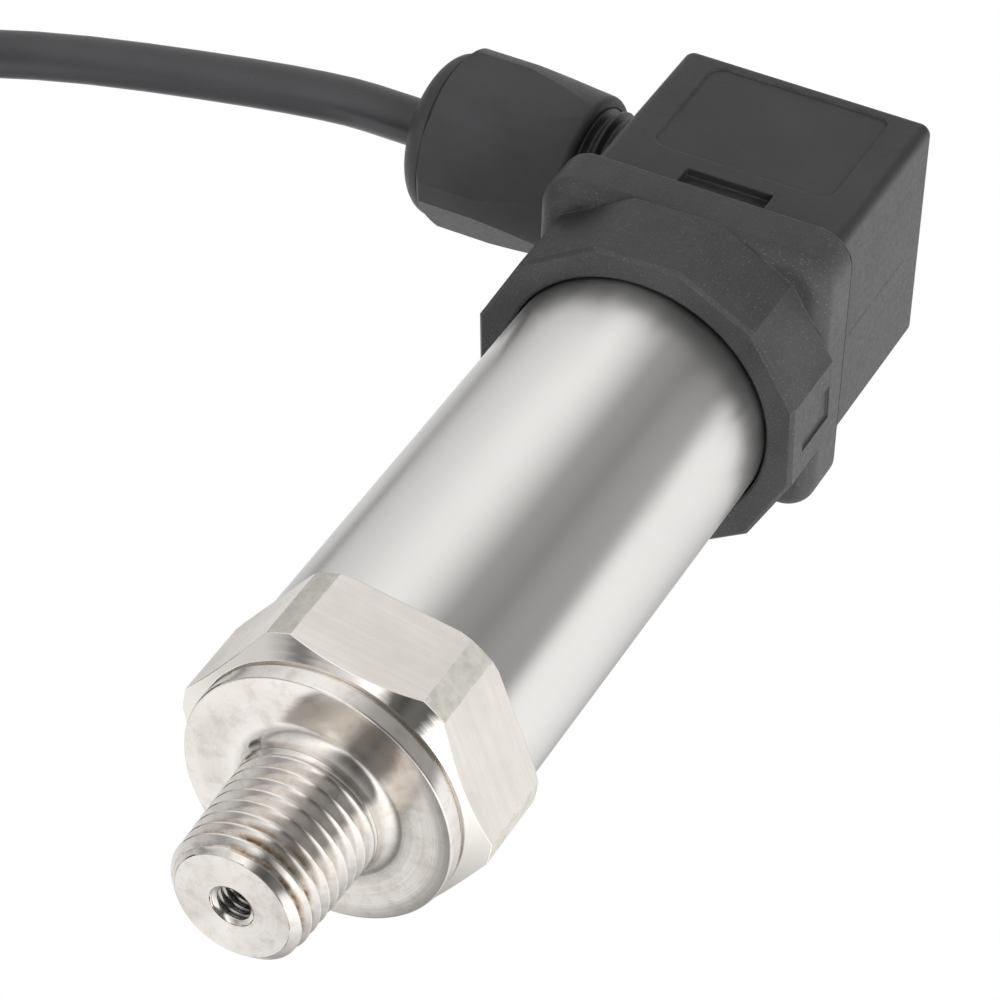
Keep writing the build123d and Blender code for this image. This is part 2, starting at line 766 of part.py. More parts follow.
def route_radii(points):
    """The bend radius at each inner point: an arc over 0.45 of its shorter run."""
    radii = []
    for before, here, after in zip(points, points[1:], points[2:]):
        run_in = Vector(*here) - Vector(*before)
        run_out = Vector(*after) - Vector(*here)
        half_turn = math.radians(run_in.get_angle(run_out)) / 2
        radii.append(arc_share * min(run_in.length, run_out.length) / math.tan(half_turn))
    return radii


# Cable from inside the hood, through the gland and down to its coil
cable_bends = route_radii(cable_route)
print("cable bend radii", [round(radius, 1) for radius in cable_bends])
with BuildPart() as cable:
    with BuildLine() as cable_line:
        FilletPolyline(*cable_route, radius=cable_bends)
    with BuildSketch(Plane(origin=cable_line.line @ 0, z_dir=cable_line.line % 0)):
        Circle(cable_radius)
    sweep()
save(cable.part, "cable")
cable_length = sum(edge.length for edge in cable_line.edges())
section_volume = math.pi * cable_radius**2 * cable_length
print("cable volume over section times length", round(cable.part.volume / section_volume, 4))

# Coil: turns laid side by side in two layers, held by two ties
coil_x = cable_route[-1][0] + coil_inner_turn_radius
coil_low_radius = coil_inner_turn_radius - cable_radius
coil_high_radius = coil_inner_turn_radius + turn_pitch + cable_radius
coil_middle_radius = (coil_low_radius + coil_high_radius) / 2
coil_depth = coil_turns_along * turn_pitch + 2 * cable_radius
coil_axis = Axis((coil_x, 0, coil_centre_height), (0, 1, 0))
with BuildPart() as cable_coil:
    with BuildSketch(Plane.XY.offset(coil_centre_height)) as coil_section:
        with Locations((coil_x - coil_middle_radius, coil_depth / 2 - cable_radius)):
            Rectangle(coil_high_radius - coil_low_radius, coil_depth)
        chamfer(coil_section.vertices(), coil_corner)
    revolve(axis=coil_axis)
save(cable_coil.part, "cable_coil")

for number, side in enumerate((1, -1), 1):
    with BuildPart() as coil_tie:
        with BuildSketch(Plane.YZ.offset(coil_x - tie_width / 2)):
            tie_centre = (coil_depth / 2 - cable_radius, coil_centre_height + side * coil_middle_radius)
            tie_height = coil_high_radius - coil_low_radius
            with Locations(tie_centre):
                RectangleRounded(
                    coil_depth + 2 * tie_thickness, tie_height + 2 * tie_thickness, coil_corner + tie_thickness
                )
                RectangleRounded(coil_depth, tie_height, coil_corner, mode=Mode.SUBTRACT)
        extrude(amount=tie_width)
    save(coil_tie.part, f"coil_tie_{number}")

# Tail of the cable below the coil, and its stripped cores
tail_x = coil_x - coil_inner_turn_radius - turn_pitch
tail_end = coil_centre_height - tail_length
with BuildPart() as cable_tail:
    with BuildSketch(Plane.XY.offset(coil_centre_height - tail_hidden)):
        with Locations((tail_x, turn_pitch)):
            Circle(cable_radius)
    extrude(amount=tail_hidden - tail_length)
save(cable_tail.part, "cable_tail")

for number in range(3):
    angle = math.radians(120 * number + 90)
    offset_x = math.cos(angle)
    offset_y = math.sin(angle)
    core_start = Vector(
        tail_x + core_circle_radius * offset_x, turn_pitch + core_circle_radius * offset_y, tail_end
    )
    core_direction = Vector(free_core_splay * offset_x, free_core_splay * offset_y, -free_core_length)
    core_direction = core_direction.normalized()
    strip_start = core_start + core_direction * (free_core_length - stripped_length)
    with BuildPart() as free_core:
        with BuildSketch(Plane(origin=core_start)):
            Circle(core_radius)
        extrude(amount=free_core_length - stripped_length, dir=core_direction)
    save(free_core.part, f"free_core_{number + 1}")
    with BuildPart() as core_end:
        with BuildSketch(Plane(origin=strip_start)):
            Circle(strand_radius)
        extrude(amount=stripped_length, dir=core_direction)
    save(core_end.part, f"core_end_{number + 1}")

# Cores inside the hood, from the cable's end to three terminals
core_top = gland_height + core_rise
core_low = gland_height - core_circle_radius - core_shift
fan_start = cable_inner_end + core_straight
turn_height = terminal_top + core_level
core_routes = [
    [
        (cable_inner_end, core_circle_radius, core_top),
        (fan_start, core_circle_radius, core_top),
        (-core_fan, core_side, core_top),
        (core_fan, core_side, gland_height),
        (pin_circle_radius, core_landing, turn_height),
        (pin_circle_radius, core_landing, terminal_top),
    ],
    [
        (cable_inner_end, core_shift, core_low),
        (fan_start, core_shift, core_low),
        (-core_fan, core_inner_spread, turn_height),
        (core_landing, pin_circle_radius, turn_height),
        (core_landing, pin_circle_radius, terminal_top),
    ],
    [
        (cable_inner_end, -core_circle_radius, core_top),
        (fan_start, -core_circle_radius, core_top),
        (-core_fan, -core_spread, gland_height),
        (core_landing, -pin_circle_radius, turn_height),
        (core_landing, -pin_circle_radius, terminal_top),
    ],
]
for number, core_route in enumerate(core_routes, 1):
    with BuildPart() as core:
        with BuildLine() as core_line:
            FilletPolyline(*core_route, radius=core_bend)
        with BuildSketch(Plane(origin=core_line.line @ 0, z_dir=core_line.line % 0)):
            Circle(core_radius)
        sweep()
    save(core.part, f"core_{number}")
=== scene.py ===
import bpy
import bmesh
import math
from mathutils import Matrix, Vector


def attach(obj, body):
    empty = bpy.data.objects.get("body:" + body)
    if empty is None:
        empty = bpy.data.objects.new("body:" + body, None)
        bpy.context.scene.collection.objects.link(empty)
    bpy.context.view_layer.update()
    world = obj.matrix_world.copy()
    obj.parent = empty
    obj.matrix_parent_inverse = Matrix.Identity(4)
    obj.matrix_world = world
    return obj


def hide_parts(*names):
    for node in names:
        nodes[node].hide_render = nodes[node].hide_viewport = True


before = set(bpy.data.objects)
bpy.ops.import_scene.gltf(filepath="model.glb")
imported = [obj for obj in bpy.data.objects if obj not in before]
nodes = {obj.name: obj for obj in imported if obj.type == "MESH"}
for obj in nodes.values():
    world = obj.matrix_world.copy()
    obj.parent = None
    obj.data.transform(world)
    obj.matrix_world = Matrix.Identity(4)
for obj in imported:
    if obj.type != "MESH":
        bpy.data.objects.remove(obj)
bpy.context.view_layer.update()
mm = 0.001
print("frame loaded", len(nodes), "nodes")

# camera, from below and in front of the thread's tip
view = {
    "place": (0.125995, -0.252419, -0.205973),
    "right": (0.886110, -0.022226, 0.462941),
    "down": (0.317696, 0.756394, -0.571784),
    "lens": 153.24,
    "sensor": 36,
    "nearest": 0.01,
    "farthest": 20,
}


def addObject(name, data, mat=None):
    piece = bpy.data.objects.new(name, data)
    bpy.context.scene.collection.objects.link(piece)
    if mat:
        data.materials.clear()
        data.materials.append(mat)
    return piece


def makeCamera(v):
    right = Vector(v["right"]).normalized()
    up = -Vector(v["down"])
    up = (up - right * up.dot(right)).normalized()
    back = right.cross(up)
    data = bpy.data.cameras.new("viewCamera")
    data.lens = v["lens"]
    data.sensor_width = v["sensor"]
    data.clip_start = v["nearest"]
    data.clip_end = v["farthest"]
    cam = addObject("viewCamera", data)
    turn = Matrix((right, up, back)).transposed().to_4x4()
    cam.matrix_world = Matrix.Translation(v["place"]) @ turn
    bpy.context.scene.camera = cam


makeCamera(view)
bpy.context.scene.view_settings.view_transform = "Standard"


# node shorthand for the surroundings and the materials
class Nodes:
    def __init__(self, tree):
        self.tree = tree

    def put(self, kind, **settings):
        node = self.tree.nodes.new(kind)
        for key, value in settings.items():
            setattr(node, key, value)
        return node

    def wire(self, a, b):
        self.tree.links.new(a, b)

    def fill(self, sockets, values):
        # a number or a colour is set on its socket, an output is wired to it
        for socket, value in zip(sockets, values):
            if isinstance(value, (int, float)):
                socket.default_value = value
            elif isinstance(value, tuple):
                socket.default_value = value + (1,)
            else:
                self.wire(value, socket)

    def math(self, how, *values):
        node = self.put("ShaderNodeMath", operation=how)
        self.fill(node.inputs, values)
        return node.outputs[0]

    def ramp(self, fac, stops):
        node = self.put("ShaderNodeValToRGB")
        points = node.color_ramp.elements
        while len(points) < len(stops):
            points.new(0.5)
        for point, (at, colour) in zip(points, stops):
            point.position = at
            point.color = colour + (1,)
        self.wire(fac, node.inputs[0])
        return node.outputs[0]

    def blendColour(self, fac, a, b):
        node = self.put("ShaderNodeMix", data_type="RGBA")
        self.fill((node.inputs[0], node.inputs[6], node.inputs[7]), (fac, a, b))
        return node.outputs[2]


class Shader(Nodes):
    def __init__(self, name):
        self.mat = bpy.data.materials.new(name)
        self.mat.use_nodes = True
        super().__init__(self.mat.node_tree)
        self.bsdf = self.tree.nodes["Principled BSDF"]

    def set(self, **values):
        names = {
            "colour": "Base Color", "rough": "Roughness", "metallic": "Metallic",
            "specular": "Specular IOR Level", "anisotropic": "Anisotropic",
            "turn": "Anisotropic Rotation",
        }
        for key, value in values.items():
            self.fill([self.bsdf.inputs[names[key]]], [value])

    def noise(self, scale, detail, rough=0.55, vector=None):
        # scale is one number, or one for each axis
        if vector is None:
            coord = self.put("ShaderNodeTexCoord")
            mapping = self.put("ShaderNodeMapping")
            each = scale if isinstance(scale, tuple) else (scale,) * 3
            mapping.inputs["Scale"].default_value = each
            self.wire(coord.outputs["Object"], mapping.inputs["Vector"])
            vector = mapping.outputs[0]
        node = self.put("ShaderNodeTexNoise")
        node.inputs["Scale"].default_value = 1
        node.inputs["Detail"].default_value = detail
        node.inputs["Roughness"].default_value = rough
        self.wire(vector, node.inputs["Vector"])
        return node.outputs["Fac"]

    def mask(self, fac, low, high):
        # black below, white above
        return self.ramp(fac, [(low, (0, 0, 0)), (high, (1, 1, 1))])

    def span(self, value, low, high, toLow, toHigh):
        node = self.put("ShaderNodeMapRange")
        self.fill(list(node.inputs)[:5], (value, low, high, toLow, toHigh))
        return node.outputs[0]

    def near(self, value, centre, width):
        # 1 within the width of the centre, 0 beyond
        off = self.math("ABSOLUTE", self.math("SUBTRACT", value, centre))
        return self.span(off, width * 0.8, width, 1, 0)

    def bump(self, height, strength, distance, before=None):
        node = self.put("ShaderNodeBump")
        node.inputs["Strength"].default_value = strength
        node.inputs["Distance"].default_value = distance
        self.wire(height, node.inputs["Height"])
        if before is not None:
            self.wire(before, node.inputs["Normal"])
        self.wire(node.outputs[0], self.bsdf.inputs["Normal"])
        return node.outputs[0]

    def edge(self, width):
        # 1 along a form's edges, and the normal that rounds them
        soft = self.put("ShaderNodeBevel", samples=6)
        soft.inputs["Radius"].default_value = width
        surface = self.put("ShaderNodeNewGeometry")
        same = self.put("ShaderNodeVectorMath", operation="DOT_PRODUCT")
        self.fill(same.inputs, (soft.outputs[0], surface.outputs["Normal"]))
        return self.span(same.outputs["Value"], 0.99, 0.86, 0, 1), soft.outputs[0]

    def aroundZ(self):
        tangent = self.put("ShaderNodeTangent", direction_type="RADIAL", axis="Z")
        self.wire(tangent.outputs[0], self.bsdf.inputs["Tangent"])

    def axes(self):
        split = self.put("ShaderNodeSeparateXYZ")
        self.wire(self.put("ShaderNodeTexCoord").outputs["Object"], split.inputs[0])
        return split.outputs

    def radiusAndHeight(self):
        x, y, z = self.axes()
        flat = self.put("ShaderNodeCombineXYZ")
        self.fill(flat.inputs, (x, y))
        length = self.put("ShaderNodeVectorMath", operation="LENGTH")
        self.wire(flat.outputs[0], length.inputs[0])
        return length.outputs["Value"], z


def dress(name, mat):
    data = nodes[name].data
    data.materials.clear()
    data.materials.append(mat)


# mesh shorthand, in millimetres
def meshObject(name, verts, faces, mat, sharp=28):
    data = bpy.data.meshes.new(name)
    data.from_pydata([tuple(c * mm for c in v) for v in verts], [], faces)
    data.validate()
    form = bmesh.new()
    form.from_mesh(data)
    bmesh.ops.remove_doubles(form, verts=form.verts, dist=0.0000005)
    bmesh.ops.recalc_face_normals(form, faces=form.faces)
    finishForm(form, data, sharp)
    return addObject(name, data, mat)


def copyNode(node, name):
    data = nodes[node].data.copy()
    data.name = name
    form = bmesh.new()
    form.from_mesh(data)
    bmesh.ops.remove_doubles(form, verts=form.verts, dist=0.000001)
    return data, form


def finishForm(form, data, sharp):
    # smooth, except along edges that bend by more than sharp degrees
    for face in form.faces:
        face.smooth = True
    limit = math.radians(sharp)
    for edge in form.edges:
        if len(edge.link_faces) == 2:
            edge.smooth = edge.calc_face_angle(0) < limit
    form.to_mesh(data)
    form.free()


def trimmedCopy(name, node, point, normal, mat, sharp):
    # the part of a node on the normal's side of a plane, closed at the cut
    data, form = copyNode(node, name)
    cut = bmesh.ops.bisect_plane(
        form, geom=form.verts[:] + form.edges[:] + form.faces[:], dist=0.0000005,
        plane_co=Vector(point) * mm, plane_no=Vector(normal), clear_inner=True,
    )
    rim = [g for g in cut["geom_cut"] if isinstance(g, bmesh.types.BMEdge)]
    bmesh.ops.triangle_fill(form, edges=rim, use_beauty=True)
    bmesh.ops.recalc_face_normals(form, faces=form.faces)
    finishForm(form, data, sharp)
    return addObject(name, data, mat)


def spin(outline, steps, closed=True):
    # (radius, height) pairs, in order along the section, turned about Z
    verts, faces = [], []
    count = len(outline)
    for i in range(steps):
        a = 2 * math.pi * i / steps
        verts += [(r * math.cos(a), r * math.sin(a), h) for r, h in outline]
        j = (i + 1) % steps
        for k in range(count if closed else count - 1):
            m = (k + 1) % count
            faces.append((i * count + k, j * count + k, j * count + m, i * count + m))
    return verts, faces


def alongX(verts, height):
    # from about Z to about an axis along X
    return [(z, x, height + y) for x, y, z in verts]


def arc(cx, cy, radius, start, end, steps):
    out = []
    for i in range(steps + 1):
        a = math.radians(start + (end - start) * i / steps)
        out.append((cx + radius * math.cos(a), cy + radius * math.sin(a)))
    return out


def helix(radiusAt, pitch, low, high, steps, perTurn):
    # grid that follows the thread, so that crests and roots run along edges
    rows = int((high - low) / pitch * perTurn) + 2 * perTurn + 1
    verts, faces = [], []
    for j in range(steps + 1):
        share = j / steps
        a = 2 * math.pi * share
        for k in range(rows):
            z = min(max(low + pitch * (k / perTurn - 1 + share), low), high)
            r = radiusAt(z, k / perTurn)
            verts.append((r * math.cos(a), r * math.sin(a), z))
    for j in range(steps):
        here, there = j * rows, (j + 1) * rows
        faces += [(here + k, there + k, there + k + 1, here + k + 1) for k in range(rows - 1)]
    return verts, faces


def threadWave(turn, crest, root):
    # 0 at the root, 1 at the crest, straight flanks between
    t = turn % 1
    flank = (1 - crest - root) / 2
    if t < root / 2 or t > 1 - root / 2:
        return 0
    if t < root / 2 + flank:
        return (t - root / 2) / flank
    if t < root / 2 + flank + crest:
        return 1
    return (1 - root / 2 - t) / flank


def limited(value):
    return min(max(value, 0), 1)


# cable, from inside the plug's housing to its stripped end
cable = {
    "radius": 2.5,
    "route": [
        (-14, 0, 103.1), (-38, 0, 103.1), (-50, 0, 103.1), (-86, 0, 92.6),
        (-102, 0, 76), (-112, 0, 56), (-112, 0, 40),
    ],
    "coilCentre": (-88.5, 24.0),
    "innerTurn": 23.5,
    "pitch": 5.2,
    "perTurn": 16,
    "cornerCut": 0.75,
    "turns": 5,
    "firstLayer": 3,
    "climb": 0.25,  # part of a turn that leads up to the second layer
    "tail": 47.0,
    "length": 0.985,
    "tones": [(0.3, (0.03, 0.0305, 0.033)), (0.7, (0.04, 0.0405, 0.0435))],
    "rough": (0.27, 0.32),
}


def coilPoints(c):
    # turns side by side, then more over them on the way back
    out = []
    perTurn, pitch, first, climb = c["perTurn"], c["pitch"], c["firstLayer"], c["climb"]
    back = c["turns"] - first - climb
    # the curve passes inside its points, so they lie a little further out
    grow = 1 / (1 - (1 - math.cos(math.pi / perTurn)) * c["cornerCut"])
    for i in range(c["turns"] * perTurn + 1):
        t = i / perTurn
        if t <= first:
            r, y = c["innerTurn"], pitch * t
        elif t <= first + climb:
            r, y = c["innerTurn"] + pitch * (t - first) / climb, pitch * first
        else:
            r, y = c["innerTurn"] + pitch, pitch * (first - 2 * (t - first - climb) / back)
        a = 2 * math.pi * t
        r *= grow
        out.append((c["coilCentre"][0] - r * math.cos(a), y, c["coilCentre"][1] - r * math.sin(a)))
    return out


def makeCable(c, mat):
    x, y, z = c["coilCentre"][0] - c["innerTurn"] - c["pitch"], c["pitch"], c["coilCentre"][1]
    turns = coilPoints(c)
    turns[-1] = (x, y, z)
    points = c["route"] + turns + [(x, y, z - c["tail"] * share) for share in (0.33, 0.66, 1)]
    data = bpy.data.curves.new("cableLead", "CURVE")
    data.dimensions = "3D"
    data.resolution_u = 6
    data.bevel_depth = c["radius"] * mm
    data.bevel_resolution = 10
    data.use_fill_caps = True
    line = data.splines.new("NURBS")
    line.points.add(len(points) - 1)
    for point, place in zip(line.points, points):
        point.co = (place[0] * mm, place[1] * mm, place[2] * mm, 1)
    line.order_u = 3
    line.use_endpoint_u = True
    return addObject("cableLead", data, mat)


def jacketFinish(c):
    s = Shader("cableJacket")
    s.set(
        colour=s.ramp(s.noise(90, 4), c["tones"]),
        rough=s.span(s.noise(300, 2), 0.3, 0.7, *c["rough"]),
        specular=0.5,
    )
    s.bump(s.noise(1500, 2), 0.03, 0.00005)
    return s.mat


cableLead = makeCable(cable, jacketFinish(cable))
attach(cableLead, "transmitter")
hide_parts("cable", "cable_coil", "cable_tail")
print("cable done")

# studio: white to the camera, with soft bright and dark sides that polished steel shows
studio = {
    "floorHeight": -0.42,
    "floorHalf": 9,
    "floorColour": (0.9, 0.9, 0.9),
    "floorRough": 0.7,
    "tint": (1, 0.998, 0.994),
    "lean": 15.7,  # of the dark strip at the back, in degrees for each unit of height
    "leanFrom": 0.677,  # height where it isn't turned
    "deepen": 1.45,  # more contrast and
    "lift": 0.28,  # more brightness, downwards
    # direction, strength and spread in degrees
    "lamps": {
        "keyLamp": ((0.83, -0.28, -0.48), 3.9, 40),
        "topLamp": ((-0.2, 0.15, 0.97), 2.9, 50),
        "backLamp": ((-0.5, 0.85, 0.1), 1.6, 60),
    },
    # brightness by direction, in degrees from +X
    "sides": [
        (-180, 0.6), (-176, 0.7), (-165, 0.76), (-153, 0.82), (-141, 0.87), (-129, 0.98),
        (-117, 1.04), (-105, 1.04), (-93, 0.9), (-81, 0.64), (-70, 0.4), (-57, 0.36),
        (-45, 0.3), (-33, 0.38), (-21, 0.4), (-8, 0.35), (0, 0.8), (4, 1.06), (20, 1.1),
        (39, 1.06), (52, 1.0), (63, 0.89), (75, 0.74), (87, 0.54), (97, 0.42), (104, 0.5),
        (111, 0.96), (123, 0.97), (135, 0.91), (145, 0.76), (159, 0.75), (166, 0.62),
        (171, 0.44), (175, 0.46),
    ],
}


def makeSurroundings(s):
    world = bpy.data.worlds.new("studioWorld")
    bpy.context.scene.world = world
    world.use_nodes = True
    # the surroundings light the gloss, the lamps the colour
    world.cycles_visibility.diffuse = False
    t = Nodes(world.node_tree)
    t.tree.nodes.clear()
    split = t.put("ShaderNodeSeparateXYZ")
    t.wire(t.put("ShaderNodeTexCoord").outputs["Generated"], split.inputs[0])
    x, y, height = split.outputs
    turn = t.math("ARCTAN2", y, x)
    # the dark strip at the back leans, and the dark sides deepen downwards
    lean = math.radians(s["lean"])
    backwards = t.math("MULTIPLY_ADD", t.math("COSINE", turn), -0.5, 0.5)
    slope = t.math("MULTIPLY_ADD", height, lean, -s["leanFrom"] * lean)
    slant = t.math("MULTIPLY", slope, t.math("POWER", backwards, 4))
    angle = t.math("ADD", turn, slant)
    share = t.math("FRACT", t.math("MULTIPLY_ADD", angle, 0.5 / math.pi, 0.5))
    down = t.math("MAXIMUM", t.math("MULTIPLY", height, -1), 0)
    power = t.math("MULTIPLY_ADD", down, s["deepen"], 1)
    lift = t.math("MULTIPLY_ADD", down, s["lift"], 1)
    # two ramps of half the brightness: a ramp holds 32 stops, and no more than white
    stops = [((degrees + 180) / 360, (v / 2,) * 3) for degrees, v in s["sides"]]
    stops.append((1, stops[0][1]))
    half = len(stops) // 2
    second = t.math("GREATER_THAN", share, stops[half][0])
    tone = t.blendColour(second, t.ramp(share, stops[: half + 1]), t.ramp(share, stops[half:]))
    bright = t.math("MULTIPLY", t.math("POWER", t.math("MULTIPLY", tone, 2), power), lift)
    lit, plain = t.put("ShaderNodeBackground"), t.put("ShaderNodeBackground")
    t.fill(lit.inputs, (s["tint"], bright))
    t.fill(plain.inputs, ((1, 1, 1), 1))
    rays = t.put("ShaderNodeLightPath").outputs["Is Camera Ray"]
    mix = t.put("ShaderNodeMixShader")
    t.fill(mix.inputs, (rays, lit.outputs[0], plain.outputs[0]))
    t.wire(mix.outputs[0], t.put("ShaderNodeOutputWorld").inputs[0])


def makeFloor(s):
    w, z = s["floorHalf"], s["floorHeight"]
    data = bpy.data.meshes.new("studioFloor")
    data.from_pydata([(-w, -w, z), (w, -w, z), (w, w, z), (-w, w, z)], [], [(0, 1, 2, 3)])
    # reflections see the surroundings through the floor
    paint = Shader("floorPaint")
    paint.set(colour=s["floorColour"], rough=s["floorRough"])
    rays = paint.put("ShaderNodeLightPath").outputs["Is Glossy Ray"]
    clear = paint.put("ShaderNodeBsdfTransparent").outputs[0]
    either = paint.put("ShaderNodeMixShader")
    paint.fill(either.inputs, (rays, paint.bsdf.outputs[0], clear))
    paint.wire(either.outputs[0], paint.tree.nodes["Material Output"].inputs[0])
    floor = addObject("studioFloor", data, paint.mat)
    floor.visible_shadow = False


def makeLamps(s):
    for name, (towards, strength, spread) in s["lamps"].items():
        sun = bpy.data.lights.new(name, "SUN")
        sun.energy = strength
        sun.angle = math.radians(spread)
        lamp = addObject(name, sun)
        lamp.rotation_mode = "QUATERNION"
        lamp.rotation_quaternion = Vector(towards).to_track_quat("Z", "Y")
        lamp.visible_glossy = False


makeSurroundings(studio)
makeFloor(studio)
makeLamps(studio)
print("studio done")

# process fitting: tapered thread, turned disc and milled hexagon
fitting = {
    "tipRadius": 5.4, "tipChamfer": 0.9, "tipSteps": 480,
    "crestTip": 6.42, "taper": 1 / 32, "pitch": 1.411, "depth": 0.9, "phase": 0.145,
    "crest": 0.1, "root": 0.12, "runOut": 0.9, "threadEnd": 12.3, "steps": 240, "perTurn": 14,
    "neck": 6.82, "neckTop": 12.48, "neckRound": 1.5,
    "disc": 12.9, "discFace": 13.98, "discTop": 15.73, "faceFrom": 9.5, "faceTo": 11.2,
    "discRound": 0.25, "discChamfer": 0.12, "groove": 0.32, "grooveRise": 0.04, "grooveTop": 16.18,
    "mouth": 2.12, "mouthSlope": 1.8, "boreCrest": 1.66, "boreRoot": 2.02, "borePitch": 0.7,
    "boreDepth": 9.0, "borePhase": 0.2, "boreCrestShare": 0.2, "boreRunOut": 0.5,
    "boreSteps": 96, "borePerTurn": 12, "boreEnd": 0.3, "channel": 1.1, "sealantDepth": 0.42,
}
turnedLook = {
    "tint": (0.83, 0.797, 0.765),
    "blotch": (0.7636, 0.721285, 0.6732),
    "mottle": (0.6474, 0.60572, 0.5508),
    "sealant": (0.3, 0.2, 0.1),
    # bore: painted shade, darker steel inside the bore
    "bore": (0.42, 0.41, 0.4),
    "rough": (0.12, 0.22),
    "edge": 0.00009,
    "lines": 2600,
}
milledLook = {
    "flats": [(0.35, (0.79, 0.75, 0.705)), (0.7, (0.7, 0.66, 0.615))],
    "corners": [(0.35, (0.58, 0.56, 0.5)), (0.65, (0.73, 0.71, 0.645))],
    "scored": (0.55, 0.52, 0.48),
    "cone": (0.9, 0.865, 0.82),
    "rough": (0.22, 0.32),
    "cornerRadius": (0.01489, 0.01491),
    "coneSlope": 0.577,
    "coneRise": 0.0087367,
    "coneBand": 0.00006,
    "edge": 0.00012,
}


def threadFinish(f, look):
    s = Shader("threadSteel")
    radius, height = s.radiusAndHeight()
    # fine rings left by the lathe
    rings = s.put("ShaderNodeCombineXYZ")
    across, along = (s.math("MULTIPLY", v, look["lines"]) for v in (radius, height))
    s.fill(rings.inputs, (across, along))
    lines = s.noise(None, 4, 0.65, rings.outputs[0])
    blotch = s.noise(160, 5, 0.6)
    toned = s.blendColour(s.mask(blotch, 0.35, 0.75), look["tint"], look["blotch"])
    mottled = s.blendColour(s.mask(s.noise(620, 3, 0.65), 0.48, 0.8), toned, look["mottle"])
    # tan traces of old sealant in the grooves next to the tip
    start = (f["crestTip"] - f["sealantDepth"]) * mm
    surface = s.math("ADD", s.math("MULTIPLY", height, f["taper"]), start)
    inGroove = s.span(s.math("SUBTRACT", surface, radius), -0.0001, 0.0003, 0, 1)
    nearTip = s.span(height, 0.0026, 0.0052, 1, 0)
    patches = s.span(s.noise((420, 420, 300), 5, 0.7), 0.42, 0.6, 0, 1)
    offTip = s.span(height, 0.0006, 0.0011, 0, 1)
    outside = s.span(radius, 0.004, 0.0045, 0, 1)
    traces = inGroove
    for limit in (nearTip, patches, offTip, outside):
        traces = s.math("MULTIPLY", traces, limit)
    sealed = s.blendColour(traces, mottled, look["sealant"])
    # painted shade inside the bore, where its walls hide the light
    past = s.span(height, 0.0002, 0.0006, 0, 1)
    boreShade = s.math("MULTIPLY", s.span(radius, 0.00205, 0.0022, 1, 0), past)
    s.set(
        colour=s.blendColour(boreShade, sealed, look["bore"]),
        rough=s.span(blotch, 0.3, 0.75, *look["rough"]),
        metallic=1, anisotropic=0.85, turn=0.25,
    )
    s.bump(lines, 0.14, 0.00006, s.edge(look["edge"])[1])
    s.aroundZ()
    return s.mat


def millFinish(look):
    # fine lines across the flats, rough strips on the bar's corners, a polished cone
    s = Shader("milledSteel")
    radius, height = s.radiusAndHeight()
    lines = s.noise((50, 50, 2600), 2, 0.5)
    coarse = s.noise(900, 4, 0.7)
    blotch = s.noise((110, 110, 160), 5, 0.6)
    corner = s.span(radius, *look["cornerRadius"], 0, 1)
    rise = s.math("SUBTRACT", height, s.math("MULTIPLY", radius, look["coneSlope"]))
    cone = s.near(rise, look["coneRise"], look["coneBand"])
    scores = s.span(lines, 0.4, 0.62, 0, 0.16)
    flats = s.blendColour(scores, s.ramp(blotch, look["flats"]), look["scored"])
    sides = s.blendColour(corner, flats, s.ramp(coarse, look["corners"]))
    base = s.span(blotch, 0.3, 0.7, *look["rough"])
    rough = s.math("ADD", base, s.math("MULTIPLY", corner, 0.22))
    s.set(
        colour=s.blendColour(cone, sides, look["cone"]),
        rough=s.math("MAXIMUM", s.math("SUBTRACT", rough, s.math("MULTIPLY", cone, 0.2)), 0.06),
        metallic=s.span(corner, 0, 1, 1, 0.5),
        anisotropic=0.3, turn=0.25,
    )
    first = s.bump(lines, 0.14, 0.00006, s.edge(look["edge"])[1])
    s.bump(s.noise((30, 30, 900), 2, 0.5), 0.08, 0.0001, first)
    s.aroundZ()
    return s.mat


